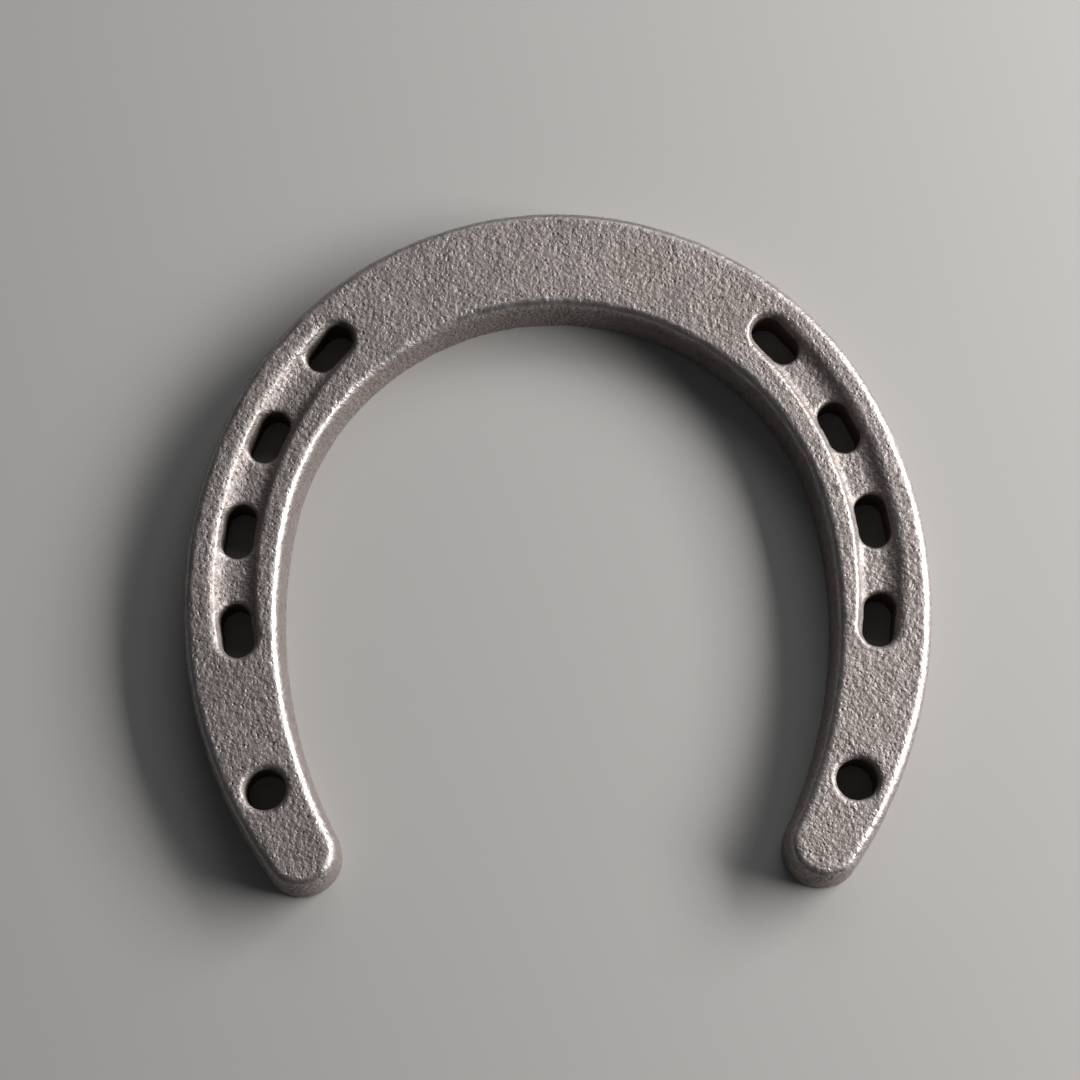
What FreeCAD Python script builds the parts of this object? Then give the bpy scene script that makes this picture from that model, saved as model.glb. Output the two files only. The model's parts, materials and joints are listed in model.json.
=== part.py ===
import FreeCAD, Part
import math
import os
import Sketcher
from FreeCAD import Placement, Rotation, Vector

# A horseshoe cast in one piece. It lies on its flat back with the creased ground face up.
# Frame: +X across the shoe, +Y towards the toe, +Z up out of the ground face. The origin is on the
# back, midway between the two sides and midway between the toe and the heels.

START, END, CENTRE = 1, 2, 3       # the points of an arc, as the sketcher numbers them
ORIGIN, X_AXIS, Y_AXIS = -1, -1, -2

# Driving dimensions, in millimetres and degrees.
SIZES = {
    # the outline of the back: every stretch is an arc tangent to the next
    "overall_length": 136.0,
    "overall_width": 146.0,
    "outer_toe_radius": 71.0,
    "outer_branch_radius": 90.5,
    "inner_toe_radius": 52.0,
    "inner_branch_radius": 93.0,
    "toe_web": 21.8,               # from the outer edge to the inner edge at the toe
    "heel_radius": 7.7,
    # the section of the bar
    "thickness": 10.0,
    "draft_angle": 5.0,            # of the outer and inner walls
    "ground_edge_radius": 2.0,
    "back_edge_radius": 0.6,
    # the nail crease of one branch, along an arc about its own centre
    "crease_centre_x": 9.85,       # beyond the middle line, on the other branch's side
    "crease_centre_y": 8.45,       # behind the middle, towards the heels
    "crease_arc_radius": 72.3,
    "crease_width": 8.6,           # at the ground face
    "crease_depth": 1.7,
    "crease_slope": 42.0,          # of its sides, from upright
    "crease_edge_radius": 0.5,
    "crease_end_setback": 0.9,     # of its round ends from those of the first and last slot
    # the nail slots, at angles about the crease's centre
    "slot_width": 6.0,
    "slot_length": 10.6,
    "toe_slot_angle": 41.7,
    "second_slot_angle": 24.5,
    "third_slot_angle": 8.7,
    "heel_slot_angle": -7.1,
    # the round hole of each heel
    "heel_hole_x": 56.0,
    "heel_hole_y": 48.4,           # behind the middle
    "heel_hole_diameter": 7.7,
    "heel_hole_rim_radius": 0.9,
}
SLOTS = ("toe_slot", "second_slot", "third_slot", "heel_slot")


def make_sheet(doc):
    """The spreadsheet that drives every sketch and feature."""
    sheet = doc.addObject("Spreadsheet::Sheet", "sizes")
    for row, (alias, value) in enumerate(SIZES.items(), start=1):
        sheet.set(f"A{row}", alias.replace("_", " "))
        sheet.set(f"B{row}", str(value))
        sheet.setAlias(f"B{row}", alias)
    return sheet


def origin_feature(body, role):
    """One of the body's own origin planes or axes."""
    return next(item for item in body.Origin.OriginFeatures if item.Role == role)


def new_sketch(body, name):
    """A sketch flat on the body's XY plane."""
    sketch = body.newObject("Sketcher::SketchObject", name)
    sketch.AttachmentSupport = [(origin_feature(body, "XY_Plane"), "")]
    sketch.MapMode = "FlatFace"
    return sketch


def constrain(sketch, *details):
    return sketch.addConstraint(Sketcher.Constraint(*details))


def bind(sketch, constraint, expression):
    """Drives one dimension of a sketch from the sheet."""
    sketch.setExpression(f"Constraints[{constraint}]", expression)


def add_arc(sketch, centre, radius, start, end):
    """An arc, anticlockwise from start to end, in radians."""
    circle = Part.Circle(Vector(*centre, 0), Vector(0, 0, 1), radius)
    return sketch.addGeometry(Part.ArcOfCircle(circle, start, end), False)


def check_sketch(sketch):
    if sketch.solve() != 0 or not sketch.FullyConstrained:
        raise RuntimeError(f"{sketch.Name} isn't fully solved")


def direction(start, end):
    return math.atan2(end[1] - start[1], end[0] - start[0])


def centre_at(first, first_distance, second, second_distance):
    """The point at these distances from two points, on the left of the way from first to second."""
    gap = math.dist(first, second)
    along = (gap ** 2 + first_distance ** 2 - second_distance ** 2) / (2 * gap)
    aside = math.sqrt(first_distance ** 2 - along ** 2)
    east = (second[0] - first[0]) / gap
    north = (second[1] - first[1]) / gap
    return (first[0] + east * along - north * aside, first[1] + north * along + east * aside)


def draw_outline(body):
    """The closed outline of the back: eight arcs, each tangent to the next."""
    half_length = SIZES["overall_length"] / 2
    outer_toe_radius = SIZES["outer_toe_radius"]
    outer_branch_radius = SIZES["outer_branch_radius"]
    inner_toe_radius = SIZES["inner_toe_radius"]
    inner_branch_radius = SIZES["inner_branch_radius"]
    heel_radius = SIZES["heel_radius"]

    # The right-hand centres. The sketch's own constraints hold them once it is solved.
    outer_toe = (0.0, half_length - outer_toe_radius)
    branch_x = SIZES["overall_width"] / 2 - outer_branch_radius
    branch_drop = math.sqrt((outer_branch_radius - outer_toe_radius) ** 2 - branch_x ** 2)
    outer_branch = (branch_x, outer_toe[1] - branch_drop)
    heel_y = heel_radius - half_length
    reach = outer_branch_radius - heel_radius
    heel = (branch_x + math.sqrt(reach ** 2 - (heel_y - outer_branch[1]) ** 2), heel_y)
    inner_toe = (0.0, half_length - SIZES["toe_web"] - inner_toe_radius)
    inner_branch = centre_at(heel, inner_branch_radius + heel_radius,
                             inner_toe, inner_branch_radius - inner_toe_radius)

    shoulder = direction(outer_branch, outer_toe)
    heel_outside = direction(outer_branch, heel)
    heel_inside = direction(heel, inner_branch)
    throat = direction(inner_branch, inner_toe)

    def mirrored(centre, radius, start, end):
        return ((-centre[0], centre[1]), radius, math.pi - end, math.pi - start)

    outer_branch_arc = (outer_branch, outer_branch_radius, heel_outside, shoulder)
    heel_arc = (heel, heel_radius, heel_inside, heel_outside + 2 * math.pi)
    inner_branch_arc = (inner_branch, inner_branch_radius, heel_inside - math.pi, throat)
    sketch = new_sketch(body, "outline")
    toe_out = add_arc(sketch, outer_toe, outer_toe_radius, shoulder, math.pi - shoulder)
    toe_in = add_arc(sketch, inner_toe, inner_toe_radius, throat, math.pi - throat)
    right_out = add_arc(sketch, *outer_branch_arc)
    right_heel = add_arc(sketch, *heel_arc)
    right_in = add_arc(sketch, *inner_branch_arc)
    left_out = add_arc(sketch, *mirrored(*outer_branch_arc))
    left_heel = add_arc(sketch, *mirrored(*heel_arc))
    left_in = add_arc(sketch, *mirrored(*inner_branch_arc))

    joins = (
        (toe_out, START, right_out, END),
        (right_out, START, right_heel, END),
        (right_heel, START, right_in, START),
        (right_in, END, toe_in, START),
        (toe_in, END, left_in, START),
        (left_in, END, left_heel, END),
        (left_heel, START, left_out, END),
        (left_out, START, toe_out, END),
    )
    for join in joins:
        constrain(sketch, "Tangent", *join)
    for arc in (toe_out, toe_in):
        constrain(sketch, "PointOnObject", arc, CENTRE, Y_AXIS)
    for left, right in ((left_out, right_out), (left_heel, right_heel)):
        constrain(sketch, "Symmetric", left, CENTRE, right, CENTRE, Y_AXIS)
    constrain(sketch, "Equal", left_in, right_in)

    radii = (
        (toe_out, "outer_toe_radius"),
        (right_out, "outer_branch_radius"),
        (right_heel, "heel_radius"),
        (right_in, "inner_branch_radius"),
        (toe_in, "inner_toe_radius"),
    )
    for arc, alias in radii:
        bind(sketch, constrain(sketch, "Radius", arc, SIZES[alias]), f"sizes.{alias}")
    places = (
        ("DistanceY", toe_out, "sizes.outer_toe_radius - sizes.overall_length / 2", -outer_toe[1]),
        ("DistanceY", right_heel, "sizes.overall_length / 2 - sizes.heel_radius", -heel[1]),
        ("DistanceX", right_out, "sizes.outer_branch_radius - sizes.overall_width / 2", -branch_x),
        ("DistanceY", toe_in,
         "sizes.inner_toe_radius + sizes.toe_web - sizes.overall_length / 2", -inner_toe[1]),
    )
    for kind, arc, expression, value in places:
        dimension = constrain(sketch, kind, arc, CENTRE, ORIGIN, START, value)
        bind(sketch, dimension, expression)
    check_sketch(sketch)
    return sketch


def place_on_crease(sketch, angle):
    """Puts a sketch's origin at the crease's centre, on the ground face, and turns it by an angle."""
    centre = Vector(-SIZES["crease_centre_x"], -SIZES["crease_centre_y"], SIZES["thickness"])
    sketch.AttachmentOffset = Placement(centre, Rotation(Vector(0, 0, 1), SIZES.get(angle, 0.0)))
    sketch.setExpression("AttachmentOffset.Base.x", "-sizes.crease_centre_x")
    sketch.setExpression("AttachmentOffset.Base.y", "-sizes.crease_centre_y")
    sketch.setExpression("AttachmentOffset.Base.z", "sizes.thickness")
    if angle:
        sketch.setExpression("AttachmentOffset.Rotation.Angle", f"sizes.{angle}")


def draw_crease(body):
    """The band of the crease at the ground face, with a round end beyond the first and last slot."""
    middle = SIZES["crease_arc_radius"]
    half_width = SIZES["crease_width"] / 2
    # How far the centre of each round end lies beyond the middle of the first or last slot.
    overrun = (SIZES["slot_length"] - SIZES["slot_width"]) / 2 - SIZES["crease_end_setback"]
    toe_end = math.radians(SIZES["toe_slot_angle"]) + math.asin(overrun / middle)
    heel_end = math.radians(SIZES["heel_slot_angle"]) - math.asin(overrun / middle)
    toe_centre = (middle * math.cos(toe_end), middle * math.sin(toe_end))
    heel_centre = (middle * math.cos(heel_end), middle * math.sin(heel_end))

    sketch = new_sketch(body, "crease_band")
    place_on_crease(sketch, "")
    outer = add_arc(sketch, (0, 0), middle + half_width, heel_end, toe_end)
    inner = add_arc(sketch, (0, 0), middle - half_width, heel_end, toe_end)
    toe_cap = add_arc(sketch, toe_centre, half_width, toe_end, toe_end + math.pi)
    heel_cap = add_arc(sketch, heel_centre, half_width, heel_end - math.pi, heel_end)
    constrain(sketch, "Tangent", outer, END, toe_cap, START)
    constrain(sketch, "Tangent", toe_cap, END, inner, END)
    constrain(sketch, "Tangent", inner, START, heel_cap, START)
    constrain(sketch, "Tangent", heel_cap, END, outer, START)
    for arc in (outer, inner):
        constrain(sketch, "Coincident", arc, CENTRE, ORIGIN, START)
    bind(sketch, constrain(sketch, "Radius", outer, middle + half_width),
         "sizes.crease_arc_radius + sizes.crease_width / 2")
    bind(sketch, constrain(sketch, "Radius", toe_cap, half_width), "sizes.crease_width / 2")
    overrun_text = ("asin(((sizes.slot_length - sizes.slot_width) / 2 - sizes.crease_end_setback)"
                    " / sizes.crease_arc_radius)")
    for cap, centre, slot, sign in ((toe_cap, toe_centre, "toe_slot", "+"),
                                    (heel_cap, heel_centre, "heel_slot", "-")):
        height = constrain(sketch, "DistanceY", ORIGIN, START, cap, CENTRE, centre[1])
        bind(sketch, height,
             f"sizes.crease_arc_radius * sin(sizes.{slot}_angle * 1 deg {sign} {overrun_text})")
    check_sketch(sketch)
    return sketch


def draw_slot(body, name):
    """One nail slot across the crease's arc, long way along the branch."""
    middle = SIZES["crease_arc_radius"]
    radius = SIZES["slot_width"] / 2
    reach = SIZES["slot_length"] / 2 - radius
    sketch = new_sketch(body, f"{name}_outline")
    place_on_crease(sketch, f"{name}_angle")
    toe_end = add_arc(sketch, (middle, reach), radius, 0, math.pi)
    heel_end = add_arc(sketch, (middle, -reach), radius, math.pi, 2 * math.pi)
    for side in (1, -1):
        line = Part.LineSegment(Vector(middle + side * radius, -reach, 0),
                                Vector(middle + side * radius, reach, 0))
        sketch.addGeometry(line, False)
    outside, inside = heel_end + 1, heel_end + 2
    constrain(sketch, "Tangent", outside, END, toe_end, START)
    constrain(sketch, "Tangent", inside, END, toe_end, END)
    constrain(sketch, "Tangent", outside, START, heel_end, END)
    constrain(sketch, "Tangent", inside, START, heel_end, START)
    constrain(sketch, "Equal", toe_end, heel_end)
    constrain(sketch, "Symmetric", toe_end, CENTRE, heel_end, CENTRE, X_AXIS)
    bind(sketch, constrain(sketch, "Radius", toe_end, radius), "sizes.slot_width / 2")
    bind(sketch, constrain(sketch, "DistanceX", ORIGIN, START, toe_end, CENTRE, middle),
         "sizes.crease_arc_radius")
    bind(sketch, constrain(sketch, "DistanceY", ORIGIN, START, toe_end, CENTRE, reach),
         "(sizes.slot_length - sizes.slot_width) / 2")
    check_sketch(sketch)
    return sketch


def draw_heel_hole(body):
    """The round hole of the right-hand heel."""
    x, y = SIZES["heel_hole_x"], SIZES["heel_hole_y"]
    radius = SIZES["heel_hole_diameter"] / 2
    sketch = new_sketch(body, "heel_hole_circle")
    sketch.AttachmentOffset = Placement(Vector(0, 0, SIZES["thickness"]), Rotation())
    sketch.setExpression("AttachmentOffset.Base.z", "sizes.thickness")
    hole = sketch.addGeometry(Part.Circle(Vector(x, -y, 0), Vector(0, 0, 1), radius), False)
    bind(sketch, constrain(sketch, "Radius", hole, radius), "sizes.heel_hole_diameter / 2")
    bind(sketch, constrain(sketch, "DistanceX", ORIGIN, START, hole, CENTRE, x), "sizes.heel_hole_x")
    bind(sketch, constrain(sketch, "DistanceY", hole, CENTRE, ORIGIN, START, y), "sizes.heel_hole_y")
    check_sketch(sketch)
    return sketch


def cut(body, name, sketch, set_up):
    """A pocket down from the ground face. It stops the build if it takes nothing away."""
    before = body.Shape.Volume
    pocket = body.newObject("PartDesign::Pocket", name)
    pocket.Profile = sketch
    set_up(pocket)
    body.Document.recompute()
    if not body.Shape.Volume < before - 1:
        raise RuntimeError(f"{name} cuts nothing")
    return pocket


def right_through(pocket):
    pocket.Type = "ThroughAll"


def crease_deep(pocket):
    pocket.Type = "Length"
    pocket.setExpression("Length", "sizes.crease_depth")
    pocket.setExpression("TaperAngle", "-sizes.crease_slope")


def round_edges(body, name, edges, radius):
    """A fillet on some edges of the body, at one radius of the sheet."""
    base = body.Tip
    names = [f"Edge{number}" for number, edge in enumerate(base.Shape.Edges, start=1)
             if any(edge.isSame(other) for other in edges)]
    fillet = body.newObject("PartDesign::Fillet", name)
    fillet.Base = (base, names)
    fillet.setExpression("Radius", f"sizes.{radius}")
    body.Document.recompute()
    return fillet


def level_face(body, height):
    """The body's largest level face at a height."""
    faces = [face for face in body.Tip.Shape.Faces
             if abs(face.BoundBox.ZMin - height) < 1e-4 and abs(face.BoundBox.ZMax - height) < 1e-4]
    return max(faces, key=lambda face: face.Area)


def inner_wires(body):
    """The edges, wire by wire, of the openings in the ground face."""
    ground = level_face(body, SIZES["thickness"])
    return [wire for wire in ground.Wires if not wire.isSame(ground.OuterWire)]


def make_shoe(doc):
    """The whole shoe: the bar, then one branch's crease, slots and hole, mirrored to the other."""
    body = doc.addObject("PartDesign::Body", "shoe")
    body.Label = "shoe"
    bar = body.newObject("PartDesign::Pad", "bar")
    bar.Profile = draw_outline(body)
    bar.setExpression("Length", "sizes.thickness")
    bar.setExpression("TaperAngle", "-sizes.draft_angle")
    doc.recompute()

    branch = [cut(body, "crease", draw_crease(body), crease_deep)]
    for name in SLOTS:
        branch.append(cut(body, name, draw_slot(body, name), right_through))
    branch.append(cut(body, "heel_hole", draw_heel_hole(body), right_through))

    other_branch = body.newObject("PartDesign::Mirrored", "other_branch")
    other_branch.Originals = branch
    other_branch.MirrorPlane = (origin_feature(body, "YZ_Plane"), [""])
    body.Tip = other_branch
    doc.recompute()

    round_edges(body, "ground_edge", level_face(body, SIZES["thickness"]).OuterWire.Edges,
                "ground_edge_radius")
    round_edges(body, "back_edge", level_face(body, 0).OuterWire.Edges, "back_edge_radius")
    rims = [wire for wire in inner_wires(body) if len(wire.Edges) == 1]
    round_edges(body, "heel_hole_rim", [edge for wire in rims for edge in wire.Edges],
                "heel_hole_rim_radius")
    lips = [wire for wire in inner_wires(body) if len(wire.Edges) > 1]
    round_edges(body, "crease_edge", [edge for wire in lips for edge in wire.Edges],
                "crease_edge_radius")
    return body


def check(doc, pieces):
    """Stops before anything is written if an object failed or a shape is bad."""
    for item in doc.Objects:
        if "Invalid" in item.State or "Error" in item.State:
            raise RuntimeError(f"{item.Name} failed: {item.State}")
    for piece in pieces:
        if piece.Shape.isNull() or not piece.Shape.isValid() or len(piece.Shape.Solids) != 1:
            raise RuntimeError(f"{piece.Label} isn't one sound solid")


document = FreeCAD.newDocument("horseshoe")
make_sheet(document)
document.recompute()
parts = [make_shoe(document)]
document.recompute()
check(document, parts)

os.makedirs("parts", exist_ok=True)
for part in parts:
    part.Shape.exportStep(f"parts/{part.Label}.step")
    box = part.Shape.optimalBoundingBox(False)
    print(f"{part.Label}: {box.XLength:.2f} x {box.YLength:.2f} x {box.ZLength:.2f} mm,",
          f"{part.Shape.Volume:.0f} mm3, {len(part.Shape.Faces)} faces")
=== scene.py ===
import json
import math

import bmesh
import bpy
import numpy as np
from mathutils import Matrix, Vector


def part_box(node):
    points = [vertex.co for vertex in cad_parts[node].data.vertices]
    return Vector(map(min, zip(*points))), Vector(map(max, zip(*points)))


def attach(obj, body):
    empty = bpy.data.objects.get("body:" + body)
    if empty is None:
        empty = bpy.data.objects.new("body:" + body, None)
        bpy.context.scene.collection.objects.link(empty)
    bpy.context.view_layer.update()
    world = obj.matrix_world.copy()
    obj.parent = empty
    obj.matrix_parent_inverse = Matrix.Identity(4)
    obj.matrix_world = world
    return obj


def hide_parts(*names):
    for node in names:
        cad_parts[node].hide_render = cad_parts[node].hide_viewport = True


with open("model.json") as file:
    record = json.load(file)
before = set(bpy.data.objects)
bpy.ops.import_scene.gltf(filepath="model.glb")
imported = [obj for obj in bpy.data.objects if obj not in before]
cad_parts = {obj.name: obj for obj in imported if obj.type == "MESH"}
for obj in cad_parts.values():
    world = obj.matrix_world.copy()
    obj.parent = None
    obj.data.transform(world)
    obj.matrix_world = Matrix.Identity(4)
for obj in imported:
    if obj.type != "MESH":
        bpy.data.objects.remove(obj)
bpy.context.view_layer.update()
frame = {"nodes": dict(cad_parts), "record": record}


# ---- The casting ---------------------------------------------------------------------------------
# The shoe is one piece of bare grey iron, cast flat in a sand mould, with a nail crease and four
# slots in each branch and a round hole near each heel. Blasting and tumbling have softened its edges
# and rubbed them bright. Its sizes are in millimetres, and MM turns them into Blender's metres.

MM = 0.001
THICKNESS = (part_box("shoe")[1] / MM).z
HALF_LENGTH = 68.0           # of the outline at the back, before its edge is rounded
HALF_WIDTH = 73.0
OUTER_TOE_RADIUS = 71.0
OUTER_BRANCH_RADIUS = 90.5
INNER_TOE_RADIUS = 52.0
INNER_BRANCH_RADIUS = 93.0
TOE_WEB = 21.8
HEEL_RADIUS = 7.7
DRAFT = math.radians(5.0)
GROUND_EDGE = 2.0            # radius of the worn edge round the ground face
BACK_EDGE = 0.6

CREASE_CENTRE = np.array((-9.85, -8.45))
CREASE_ARC = 72.3
CREASE_HALF_WIDTH = 4.3
CREASE_DEPTH = 1.7
CREASE_INNER_SLOPE = math.radians(25.0)      # from upright: its inner side is the steeper
CREASE_OUTER_SLOPE = math.radians(50.0)
CREASE_SETBACK = 0.9         # of its round ends from those of the first and last slot
CREASE_LIP = 0.6             # radius of its upper edges
CREASE_FOOT = 1.0            # radius in the corners of its floor

SLOT_HALF_WIDTH = 3.0
SLOT_REACH = 2.3             # from a slot's middle to the centre of either round end
SLOT_RIM = 0.95
HEEL_HOLE_RADIUS = 3.85
HEEL_HOLE_RIM = 1.3
BACK_RIM = 0.35              # radius round every opening at the back

CLOSE_MESH = 0.78            # between neighbouring points on the walls and the back
FINE_DEPTH = 3.0             # the mesh is twice as fine down to this far below the ground face
EDGE_ROUNDNESS = 0.6         # and on every edge and corner sharper than this
EVENING_ROUNDS = 4
MERGE_DISTANCE = 1e-6        # in metres, for the corners that the frame's loose triangles share

WORN_CROWN = 0.3             # how far above the middle of the edge the rubbing is hardest
RIM_WEAR = 0.5               # how much the rims and the crease's lips are rubbed, at most
SHARP = 1.2                  # the roundness at which they are rubbed that much
HOLE_SHADE_RIM = 0.7            # how far outside a slot or hole the painted shade on its wall begins
HOLE_SHADE_BLEND = 0.6          # and the width over which it darkens
HOLE_SHADE_TOP = 1.2            # how far below the ground face it begins
HOLE_SHADE_FADE = 1.5           # and the depth over which it darkens


def both(first, second, radius):
    """Metal where both fields are metal, with the edge between them rounded off."""
    corner = np.hypot(np.maximum(radius - first, 0), np.maximum(radius - second, 0))
    return np.maximum(radius, np.minimum(first, second)) - corner


def either(first, second, radius):
    """Metal where either field is metal, with the corner between them filled to a radius."""
    corner = np.hypot(np.maximum(radius + first, 0), np.maximum(radius + second, 0))
    return np.minimum(-radius, np.maximum(first, second)) + corner


def centre_at(first, first_distance, second, second_distance):
    """The point at these distances from two points, on the left of the way from first to second."""
    gap = second - first
    span = np.hypot(*gap)
    along = (span ** 2 + first_distance ** 2 - second_distance ** 2) / (2 * span)
    aside = math.sqrt(first_distance ** 2 - along ** 2)
    gap = gap / span
    return first + gap * along + np.array((-gap[1], gap[0])) * aside


def bearing(start, end):
    """The angle of the way from one point to another."""
    return math.atan2(end[1] - start[1], end[0] - start[0])


# The centres of the outline's tangent arcs, on the right-hand branch.
outer_toe = np.array((0.0, HALF_LENGTH - OUTER_TOE_RADIUS))
branch_x = HALF_WIDTH - OUTER_BRANCH_RADIUS
branch_drop = math.sqrt((OUTER_BRANCH_RADIUS - OUTER_TOE_RADIUS) ** 2 - branch_x ** 2)
outer_branch = np.array((branch_x, outer_toe[1] - branch_drop))
heel_y = HEEL_RADIUS - HALF_LENGTH
heel_reach = OUTER_BRANCH_RADIUS - HEEL_RADIUS
heel = np.array((branch_x + math.sqrt(heel_reach ** 2 - (heel_y - outer_branch[1]) ** 2), heel_y))
inner_toe = np.array((0.0, HALF_LENGTH - TOE_WEB - INNER_TOE_RADIUS))
inner_branch = centre_at(heel, INNER_BRANCH_RADIUS + HEEL_RADIUS,
                         inner_toe, INNER_BRANCH_RADIUS - INNER_TOE_RADIUS)

# Each arc: its centre, radius, first and last bearing, and 1 if the metal is on its centre's side.
OUTLINE = (
    (outer_toe, OUTER_TOE_RADIUS, bearing(outer_branch, outer_toe), math.pi / 2, 1),
    (outer_branch, OUTER_BRANCH_RADIUS, bearing(outer_branch, heel),
     bearing(outer_branch, outer_toe), 1),
    (heel, HEEL_RADIUS, bearing(heel, inner_branch), bearing(outer_branch, heel) + math.tau, 1),
    (inner_branch, INNER_BRANCH_RADIUS, bearing(inner_branch, heel),
     bearing(inner_branch, inner_toe), -1),
    (inner_toe, INNER_TOE_RADIUS, bearing(inner_branch, inner_toe), math.pi / 2, -1),
)


def into_the_bar(across, along, far=1e3, tiny=1e-6):
    """How far each point lies inside the outline of the back."""
    nearest = np.full(across.shape, -far)
    for centre, radius, first, last, side in OUTLINE:
        east, north = across - centre[0], along - centre[1]
        turn = np.mod(np.arctan2(north, east) - first, math.tau)
        depth = side * (radius - np.hypot(east, north))
        closer = (turn <= last - first + tiny) & (np.abs(depth) < np.abs(nearest))
        nearest = np.where(closer, depth, nearest)
    return nearest


mounts = {mount["name"]: np.array(mount["pos_m"]) / MM for mount in frame["record"]["mounts"]}
slot_middles = [mounts[f"nail_slot_right_{name}"][:2] for name in ("toe", "second", "third", "heel")]
heel_hole = mounts["heel_hole_right"][:2]


def crease_angle(point, overrun):
    """The angle about the crease's centre of a point that many millimetres past a slot's middle."""
    return bearing(CREASE_CENTRE, point) + math.asin(overrun / CREASE_ARC)


crease_start = crease_angle(slot_middles[-1], CREASE_SETBACK - SLOT_REACH)
crease_end = crease_angle(slot_middles[0], SLOT_REACH - CREASE_SETBACK)


def into_the_crease(across, along, tiny=1e-6):
    """How far each point lies inside the band of the crease, and the slope of its nearest side."""
    east, north = across - CREASE_CENTRE[0], along - CREASE_CENTRE[1]
    turn = np.clip(np.arctan2(north, east), crease_start, crease_end)
    off_middle = np.hypot(east - CREASE_ARC * np.cos(turn), north - CREASE_ARC * np.sin(turn))
    outwards = (np.hypot(east, north) - CREASE_ARC) / np.maximum(off_middle, tiny)
    share = (1 + outwards.clip(-1, 1)) / 2
    slope = CREASE_INNER_SLOPE + share * (CREASE_OUTER_SLOPE - CREASE_INNER_SLOPE)
    return CREASE_HALF_WIDTH - off_middle, slope


def into_a_slot(across, along, middle):
    """How far each point lies inside the obround of one nail slot."""
    lean = bearing(CREASE_CENTRE, middle)
    east, north = across - middle[0], along - middle[1]
    sideways = east * math.cos(lean) + north * math.sin(lean)
    lengthways = north * math.cos(lean) - east * math.sin(lean)
    return SLOT_HALF_WIDTH - np.hypot(sideways, np.maximum(np.abs(lengthways) - SLOT_REACH, 0))


def into_the_heel_hole(across, along):
    """How far each point lies inside the round hole near the heel."""
    return HEEL_HOLE_RADIUS - np.hypot(across - heel_hole[0], along - heel_hole[1])


def into_the_metal(points):
    """How far each point lies under the surface of the casting, and beyond it if negative."""
    across, along, up = np.abs(points[:, 0]), points[:, 1], points[:, 2]
    wall = (into_the_bar(across, along) - up * math.tan(DRAFT)) * math.cos(DRAFT)
    bar = both(both(wall, THICKNESS - up, GROUND_EDGE), up, BACK_EDGE)

    under = THICKNESS - up
    inside, slope = into_the_crease(across, along)
    side = (inside - under * np.tan(slope)) * np.cos(slope)
    metal = both(bar, either(-side, under - CREASE_DEPTH, CREASE_FOOT), CREASE_LIP)
    ground_side = up > THICKNESS / 2
    rim = np.where(ground_side, SLOT_RIM, BACK_RIM)
    for middle in slot_middles:
        metal = both(metal, -into_a_slot(across, along, middle), rim)
    rim = np.where(ground_side, HEEL_HOLE_RIM, BACK_RIM)
    return both(metal, -into_the_heel_hole(across, along), rim)


def step_along(axis, step):
    """A step of that length along one axis."""
    aside = np.zeros(3)
    aside[axis] = step
    return aside


def onto_the_surface(points, rounds=4, step=0.01, least_slope=0.5):
    """Moves points along the field's slope until they lie on the casting's surface."""
    for _ in range(rounds):
        depth = into_the_metal(points)
        slope = np.empty_like(points)
        for axis in range(3):
            aside = step_along(axis, step)
            slope[:, axis] = into_the_metal(points + aside) - into_the_metal(points - aside)
        slope /= 2 * step
        length = np.maximum((slope ** 2).sum(1), least_slope ** 2)
        points = points - slope * (depth / length)[:, None]
    return points


def roundness(points, step=0.25):
    """One over the radius of the surface's rounding: positive on edges, negative in corners."""
    around = -6 * into_the_metal(points)
    for axis in range(3):
        aside = step_along(axis, step)
        around += into_the_metal(points + aside) + into_the_metal(points - aside)
    return -around / step ** 2


def relaxed(points, links):
    """Points moved halfway to the middle of their neighbours, to even out the mesh."""
    count = np.bincount(links.ravel(), minlength=len(points))
    middle = np.empty_like(points)
    for axis in range(3):
        middle[:, axis] = (np.bincount(links[:, 0], points[links[:, 1], axis], len(points)) +
                           np.bincount(links[:, 1], points[links[:, 0], axis], len(points)))
    return (points + middle / count[:, None]) / 2


def plain_mesh(item, name):
    """What the object's modifiers make of it, as a mesh of its own."""
    evaluated = item.evaluated_get(bpy.context.evaluated_depsgraph_get())
    made = bpy.data.meshes.new_from_object(evaluated)
    made.name = name
    return made


def points_of(mesh):
    points = np.empty(len(mesh.vertices) * 3)
    mesh.vertices.foreach_get("co", points)
    return points.reshape(-1, 3)


# An even mesh of the frame's shoe, made finer on the ground side and on the edges.
blank = bmesh.new()
blank.from_mesh(frame["nodes"]["shoe"].data)
bmesh.ops.remove_doubles(blank, verts=blank.verts, dist=MERGE_DISTANCE)
mesh = bpy.data.meshes.new("shoe_blank")
blank.to_mesh(mesh)
blank.free()
casting = bpy.data.objects.new("horseshoe_casting", mesh)
bpy.context.scene.collection.objects.link(casting)
remesh = casting.modifiers.new("even mesh", "REMESH")
remesh.mode = "VOXEL"
remesh.voxel_size = CLOSE_MESH * MM
casting.data = plain_mesh(casting, "horseshoe_casting")
casting.modifiers.clear()

fine = bmesh.new()
fine.from_mesh(casting.data)
centres = np.array([face.calc_center_median() for face in fine.faces]) / MM
wanted = (centres[:, 2] > THICKNESS - FINE_DEPTH) | (np.abs(roundness(centres)) > EDGE_ROUNDNESS)
edges = list({edge for face, chosen in zip(fine.faces, wanted) if chosen for edge in face.edges})
bmesh.ops.subdivide_edges(fine, edges=edges, cuts=1, use_grid_fill=True)
bmesh.ops.triangulate(fine, faces=[face for face in fine.faces if len(face.verts) > 4])
fine.to_mesh(casting.data)
fine.free()

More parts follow.
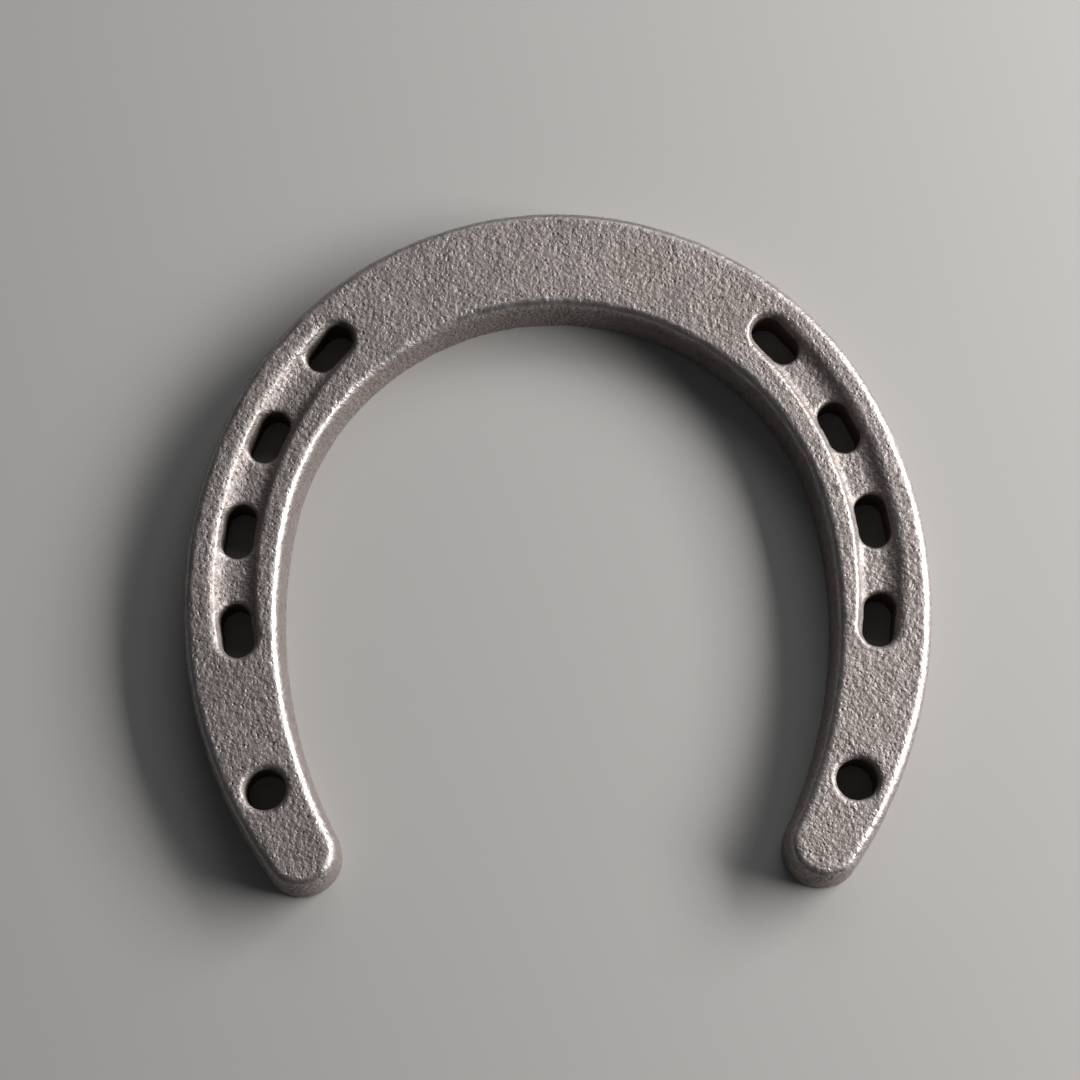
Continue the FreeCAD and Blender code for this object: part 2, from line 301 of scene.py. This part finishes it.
# Its points are drawn onto the casting's true surface, and evened out there.
links = np.empty(len(casting.data.edges) * 2, int)
casting.data.edges.foreach_get("vertices", links)
links = links.reshape(-1, 2)
surface = onto_the_surface(points_of(casting.data) / MM)
for _ in range(EVENING_ROUNDS):
    surface = onto_the_surface(relaxed(surface, links), rounds=1)
surface = onto_the_surface(surface)
casting.data.vertices.foreach_set("co", (surface * MM).ravel())
casting.data.update()
casting.data.shade_smooth()


def wear(points):
    """How far tumbling has rubbed the grain away: most on the middle of the ground side's edge."""
    across, along, under = np.abs(points[:, 0]), points[:, 1], THICKNESS - points[:, 2]
    wall = into_the_bar(across, along) - points[:, 2] * math.tan(DRAFT)
    on_edge = (wall < GROUND_EDGE) & (under < GROUND_EDGE)
    off_crown = np.abs(wall - under - WORN_CROWN * GROUND_EDGE)
    rubbed = np.where(on_edge, 1 - off_crown / ((1 - WORN_CROWN) * GROUND_EDGE), 0).clip(0, 1)
    return np.maximum(np.sqrt(rubbed), RIM_WEAR * (roundness(points) / SHARP).clip(0, 1))


def hole_shade_mask(points):
    """1 on the walls of the slots and the heel holes, where shade is painted, and 0 elsewhere."""
    across, along, under = np.abs(points[:, 0]), points[:, 1], THICKNESS - points[:, 2]
    inside = into_the_heel_hole(across, along)
    for middle in slot_middles:
        inside = np.maximum(inside, into_a_slot(across, along, middle))
    near = ((inside + HOLE_SHADE_RIM) / HOLE_SHADE_BLEND).clip(0, 1)
    return near * ((under - HOLE_SHADE_TOP) / HOLE_SHADE_FADE).clip(0, 1)


for name, values in (("worn", wear(surface)), ("hole_shade", hole_shade_mask(surface))):
    stored = casting.data.attributes.new(name, "FLOAT", "POINT")
    stored.data.foreach_set("value", values)

material = bpy.data.materials.new("cast_iron")
material.use_nodes = True


class Tree:
    """A node tree to write in: node() adds any node, math() and ramp() give their node's result."""

    def __init__(self, tree):
        self.tree = tree

    def node(self, kind, inputs=(), **settings):
        made = self.tree.nodes.new(kind)
        for name, value in settings.items():
            setattr(made, name, value)
        for key, value in dict(inputs).items():
            if isinstance(value, bpy.types.NodeSocket):
                self.tree.links.new(value, made.inputs[key])
            else:
                made.inputs[key].default_value = value
        return made

    def math(self, operation, *values):
        return self.node("ShaderNodeMath", enumerate(values), operation=operation).outputs[0]

    def ramp(self, value, low, high, start=0.0, end=1.0):
        """Goes smoothly from start to end as the value goes from low to high."""
        inputs = {"Value": value, "From Min": low, "From Max": high, "To Min": start, "To Max": end}
        return self.node("ShaderNodeMapRange", inputs, interpolation_type="SMOOTHSTEP").outputs[0]


# Moulding sand leaves a fine grain, with deeper pits where sand fused to the iron, and the mould is
# never quite true.
SKIN_RUBBED_OFF = 0.65       # share of the grain's and the pits' depth that full rubbing takes off
WALL_BELOW = 0.3             # a surface is wall where its normal's height is less than this
LEVEL_ABOVE = 0.85           # and no wall at all where it is more than this


def skin_tree():
    """The sand-cast skin: it pushes the surface inwards by waves, grain and pits."""
    tree = bpy.data.node_groups.new("sand_cast_skin", "GeometryNodeTree")
    tree.is_modifier = True
    sockets = tree.interface
    sockets.new_socket("Geometry", in_out="INPUT", socket_type="NodeSocketGeometry")
    for name in ("Wave Length", "Wave Depth", "Grain Size", "Grain Depth", "Pit Spacing", "Pit Size",
                 "Pit Depth", "Seed"):
        sockets.new_socket(name, in_out="INPUT", socket_type="NodeSocketFloat")
    sockets.new_socket("Material", in_out="INPUT", socket_type="NodeSocketMaterial")
    sockets.new_socket("Geometry", in_out="OUTPUT", socket_type="NodeSocketGeometry")
    make = Tree(tree)
    given = make.node("NodeGroupInput").outputs
    place = make.node("GeometryNodeInputPosition").outputs[0]
    worn = make.node("GeometryNodeInputNamedAttribute", {"Name": "worn"}, data_type="FLOAT").outputs[0]
    normal = make.node("GeometryNodeInputNormal").outputs[0]
    up = make.node("ShaderNodeSeparateXYZ", {0: normal}).outputs["Z"]
    wall = make.ramp(make.math("ABSOLUTE", up), WALL_BELOW, LEVEL_ABOVE, start=1.0, end=0.0)
    unworn = make.math("SUBTRACT", 1.0, make.math("MULTIPLY", worn, SKIN_RUBBED_OFF))

    def noise(size, detail, roughness, shift):
        scale = make.math("DIVIDE", 1.0, size)
        seed = make.math("ADD", given["Seed"], shift)
        return make.node("ShaderNodeTexNoise",
                         {"Vector": place, "W": seed, "Scale": scale, "Detail": detail,
                          "Roughness": roughness}, noise_dimensions="4D").outputs[0]

    waves = noise(given["Wave Length"], detail=1.0, roughness=0.5, shift=0.0)
    waves = make.math("MULTIPLY", make.ramp(waves, low=0.25, high=0.75), given["Wave Depth"])
    grain = noise(given["Grain Size"], detail=1.5, roughness=0.55, shift=7.0)
    grain = make.math("MULTIPLY", make.ramp(grain, low=0.3, high=0.72), given["Grain Depth"])
    grain = make.math("MULTIPLY", grain, unworn)

    cells = make.node("ShaderNodeTexVoronoi",
                      {"Vector": place, "W": given["Seed"],
                       "Scale": make.math("DIVIDE", 1.0, given["Pit Spacing"]), "Randomness": 1.0},
                      voronoi_dimensions="4D")
    distance = make.math("MULTIPLY", cells.outputs["Distance"], given["Pit Spacing"])
    bowl = make.ramp(distance, low=0.0, high=given["Pit Size"], start=1.0, end=0.0)
    chance = make.node("FunctionNodeSeparateColor", {"Color": cells.outputs["Color"]}).outputs[0]
    pit = make.math("MULTIPLY", bowl, make.ramp(chance, low=0.35, high=1.0))
    pit = make.math("MULTIPLY", pit, unworn)
    depth = make.math("ADD", make.math("ADD", waves, grain),
                      make.math("MULTIPLY", pit, given["Pit Depth"]))

    inwards = make.node("ShaderNodeVectorMath",
                        {0: normal, "Scale": make.math("MULTIPLY", depth, -1.0)},
                        operation="SCALE").outputs[0]
    result = given["Geometry"]
    # the grain's depth is kept too, to paint shade into its hollows
    for name, value in (("pit", pit), ("wall", wall), ("grain_shade", grain)):
        result = make.node("GeometryNodeStoreNamedAttribute",
                           {"Geometry": result, "Name": name, "Value": value},
                           data_type="FLOAT", domain="POINT").outputs[0]
    result = make.node("GeometryNodeSetPosition", {"Geometry": result, "Offset": inwards}).outputs[0]
    result = make.node("GeometryNodeRealizeInstances", {"Geometry": result}).outputs[0]
    result = make.node("GeometryNodeSetMaterial",
                       {"Geometry": result, "Material": given["Material"]}).outputs[0]
    make.node("NodeGroupOutput", {"Geometry": result})
    return tree


def set_inputs(modifier, values):
    """Sets a Geometry Nodes modifier's inputs by the sockets' identifiers."""
    for item in modifier.node_group.interface.items_tree:
        if item.in_out == "INPUT" and item.name in values:
            modifier[item.identifier] = values[item.name]


skin = casting.modifiers.new("sand-cast skin", "NODES")
skin.node_group = skin_tree()
set_inputs(skin, {
    "Wave Length": 6.0 * MM,
    "Wave Depth": 0.13 * MM,
    "Grain Size": 0.85 * MM,
    "Grain Depth": 0.11 * MM,
    "Pit Spacing": 1.6 * MM,
    "Pit Size": 0.6 * MM,
    "Pit Depth": 0.16 * MM,
    "Seed": 3.0,
    "Material": material,
})
casting.data = plain_mesh(casting, "horseshoe_casting")
casting.modifiers.clear()

# Bare iron, bright where it is rubbed; painted shade darkens its grain's hollows, dimples, pits and
# walls.
BLASTED_IRON = (0.43, 0.38, 0.362, 1)
DULLER_IRON = (0.378, 0.332, 0.314, 1)
SPECK = (0.22, 0.195, 0.187, 1)
# painted shade for the grain's hollows and for the dimples
PAINTED_GRAIN_SHADE = (0.24, 0.215, 0.205, 1)
PAINTED_DIMPLE_SHADE = (0.13, 0.112, 0.105, 1)
# painted shade for the walls, and for the walls of the slots and holes
PAINTED_WALL_SHADE = (0.20, 0.165, 0.15, 1)
PAINTED_HOLE_SHADE = (0.17, 0.14, 0.122, 1)
RUST = (0.20, 0.10, 0.055, 1)
# painted shade for the pits
PAINTED_PIT_SHADE = (0.10, 0.085, 0.078, 1)
RUBBED_IRON = (0.52, 0.50, 0.49, 1)

PATCH_SIZE = 14.0            # of the slightly duller patches
RUBBING_SIZE = 4.0           # of the patches where the rubbing is stronger or weaker
SHEEN_SIZE = 3.0             # of the patches where the iron is rougher or smoother
RUST_SIZE = 2.4
FINE_GRAIN_SIZE = 0.8
SPECK_SIZE = 0.5
DIMPLE_SPACING = 0.95
DIMPLE_STIR = 0.5            # how far, and over what distance, the dimples are pulled out of round
GROUND_RELIEF = 0.33         # depth of the fine grain on level faces
WALL_RELIEF = 0.5            # and on the walls

paint = Tree(material.node_tree)
shader = material.node_tree.nodes["Principled BSDF"]
position = paint.node("ShaderNodeTexCoord").outputs["Object"]


def attribute(name):
    return paint.node("ShaderNodeAttribute", attribute_name=name).outputs["Fac"]


def iron_noise(size, detail=2.0, roughness=0.5):
    return paint.node("ShaderNodeTexNoise", {"Vector": position, "Scale": 1 / (size * MM),
                                             "Detail": detail, "Roughness": roughness}).outputs[0]


def part_of(value, share):
    """That share of a value."""
    return paint.math("MULTIPLY", value, share)


def mixed(share, first, second):
    inputs = {"Factor": share, 6: first, 7: second}
    return paint.node("ShaderNodeMix", inputs, data_type="RGBA").outputs[2]


pit = attribute("pit")
wall = attribute("wall")
hole_shade = attribute("hole_shade")
grain_shade = paint.ramp(attribute("grain_shade"), low=0.02 * MM, high=0.1 * MM)
rubbing = paint.ramp(iron_noise(RUBBING_SIZE), low=0.3, high=0.6, start=0.7, end=1.0)
worn = paint.math("MULTIPLY", attribute("worn"), rubbing)
patches = paint.ramp(iron_noise(PATCH_SIZE, detail=3.0), low=0.35, high=0.65)
specks = paint.ramp(iron_noise(SPECK_SIZE, roughness=0.6), low=0.4, high=0.75)
rust = paint.ramp(iron_noise(RUST_SIZE), low=0.7, high=0.78, start=0.0, end=0.6)

stir = paint.node("ShaderNodeTexNoise", {"Vector": position, "Scale": 1 / (DIMPLE_STIR * MM)})
stir = paint.node("ShaderNodeVectorMath", {0: stir.outputs["Color"], "Scale": DIMPLE_STIR * MM},
                  operation="SCALE").outputs[0]
stirred = paint.node("ShaderNodeVectorMath", {0: position, 1: stir}).outputs[0]
cells = paint.node("ShaderNodeTexVoronoi",
                   {"Vector": stirred, "Scale": 1 / (DIMPLE_SPACING * MM)}).outputs
chance = paint.node("ShaderNodeSeparateColor", {"Color": cells["Color"]}).outputs[0]
dimple = paint.ramp(cells["Distance"], low=0.04, high=0.42, start=1.0, end=0.0)
dimple = paint.math("MULTIPLY", dimple, paint.ramp(chance, low=0.1, high=1.0))

colour = mixed(patches, BLASTED_IRON, DULLER_IRON)
for share, shade in (
    (part_of(specks, 0.6), SPECK),
    # painted shade in the grain's hollows
    (part_of(grain_shade, 0.5), PAINTED_GRAIN_SHADE),
    # painted shade in the dimples
    (part_of(dimple, 0.62), PAINTED_DIMPLE_SHADE),
    # painted shade on the walls
    (part_of(wall, 0.3), PAINTED_WALL_SHADE),
    # painted shade on the walls of the slots and the heel holes
    (hole_shade, PAINTED_HOLE_SHADE),
    (rust, RUST),
    # painted shade in the pits
    (pit, PAINTED_PIT_SHADE),
    (part_of(worn, 0.5), RUBBED_IRON),
):
    colour = mixed(share, colour, shade)
material.node_tree.links.new(colour, shader.inputs["Base Color"])
shader.inputs["Metallic"].default_value = 1.0

rough = paint.ramp(iron_noise(SHEEN_SIZE, detail=3.0), low=0.3, high=0.7, start=0.58, end=0.7)
rough = paint.math("SUBTRACT", rough, part_of(worn, 0.26))
rough = paint.math("ADD", rough, part_of(pit, 0.2))
rough = paint.math("ADD", rough, part_of(wall, 0.2))
material.node_tree.links.new(rough, shader.inputs["Roughness"])

fine_grain = paint.math("SUBTRACT", iron_noise(FINE_GRAIN_SIZE), part_of(dimple, 0.5))
unworn = paint.math("SUBTRACT", 1.0, part_of(worn, 0.75))
relief = paint.ramp(wall, low=0.0, high=1.0, start=GROUND_RELIEF * MM, end=WALL_RELIEF * MM)
bump = paint.node("ShaderNodeBump", {"Strength": unworn, "Distance": relief,
                                     "Height": fine_grain}).outputs[0]
material.node_tree.links.new(bump, shader.inputs["Normal"])

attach(casting, "root")
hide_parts("shoe")


# ---- The floor, the light and the camera ---------------------------------------------------------
# The shoe lies on a wide sheet of pale paper. A low soft window lights it from its right, and a
# weaker one from beyond the toe. The camera looks down on it, from a little towards the heels.

FLOOR_REACH = 4.0            # in metres, from the middle to each side
PAPER = (0.42, 0.41, 0.395, 1)
PAPER_ROUGHNESS = 0.9
ROOM_LIGHT = (0.8, 0.85, 0.9, 1)
ROOM_STRENGTH = 0.065

floor = bpy.data.objects.new("floor", bpy.data.meshes.new("floor"))
sheet = bmesh.new()
bmesh.ops.create_grid(sheet, x_segments=1, y_segments=1, size=FLOOR_REACH)
sheet.to_mesh(floor.data)
sheet.free()
bpy.context.scene.collection.objects.link(floor)
paper = bpy.data.materials.new("pale_floor")
paper.use_nodes = True
paper.node_tree.nodes["Principled BSDF"].inputs["Base Color"].default_value = PAPER
paper.node_tree.nodes["Principled BSDF"].inputs["Roughness"].default_value = PAPER_ROUGHNESS
floor.data.materials.append(paper)

world = bpy.data.worlds.new("studio")
world.use_nodes = True
world.node_tree.nodes["Background"].inputs["Color"].default_value = ROOM_LIGHT
world.node_tree.nodes["Background"].inputs["Strength"].default_value = ROOM_STRENGTH
bpy.context.scene.world = world


def soft_box(name, azimuth, elevation, distance, size, power, colour):
    """An area light that faces the shoe."""
    light = bpy.data.lights.new(name, "AREA")
    light.shape = "RECTANGLE"
    light.size, light.size_y = size
    light.energy = power
    light.color = colour
    lamp = bpy.data.objects.new(name, light)
    bpy.context.scene.collection.objects.link(lamp)
    a, e = math.radians(azimuth), math.radians(elevation)
    away = Vector((math.cos(a) * math.cos(e), math.sin(a) * math.cos(e), math.sin(e)))
    lamp.location = away * distance
    lamp.rotation_euler = away.to_track_quat("Z", "Y").to_euler()


soft_box("window", azimuth=12, elevation=27, distance=0.85, size=(0.9, 0.3), power=15.0,
         colour=(1.0, 0.99, 0.985))
soft_box("far window", azimuth=75, elevation=38, distance=1.2, size=(0.9, 0.5), power=3.0,
         colour=(0.97, 0.98, 1.0))

bpy.context.scene.view_settings.view_transform = "Standard"

camera = bpy.data.objects.new("camera", bpy.data.cameras.new("camera"))
bpy.context.scene.collection.objects.link(camera)
camera.data.lens = 85.0
camera.data.sensor_width = 36.0
camera.data.clip_start = 0.01
camera.location = (-0.0054, -0.12595, 0.487)
camera.rotation_euler = (math.radians(14.7), 0, math.radians(-1.02))
bpy.context.scene.camera = camera
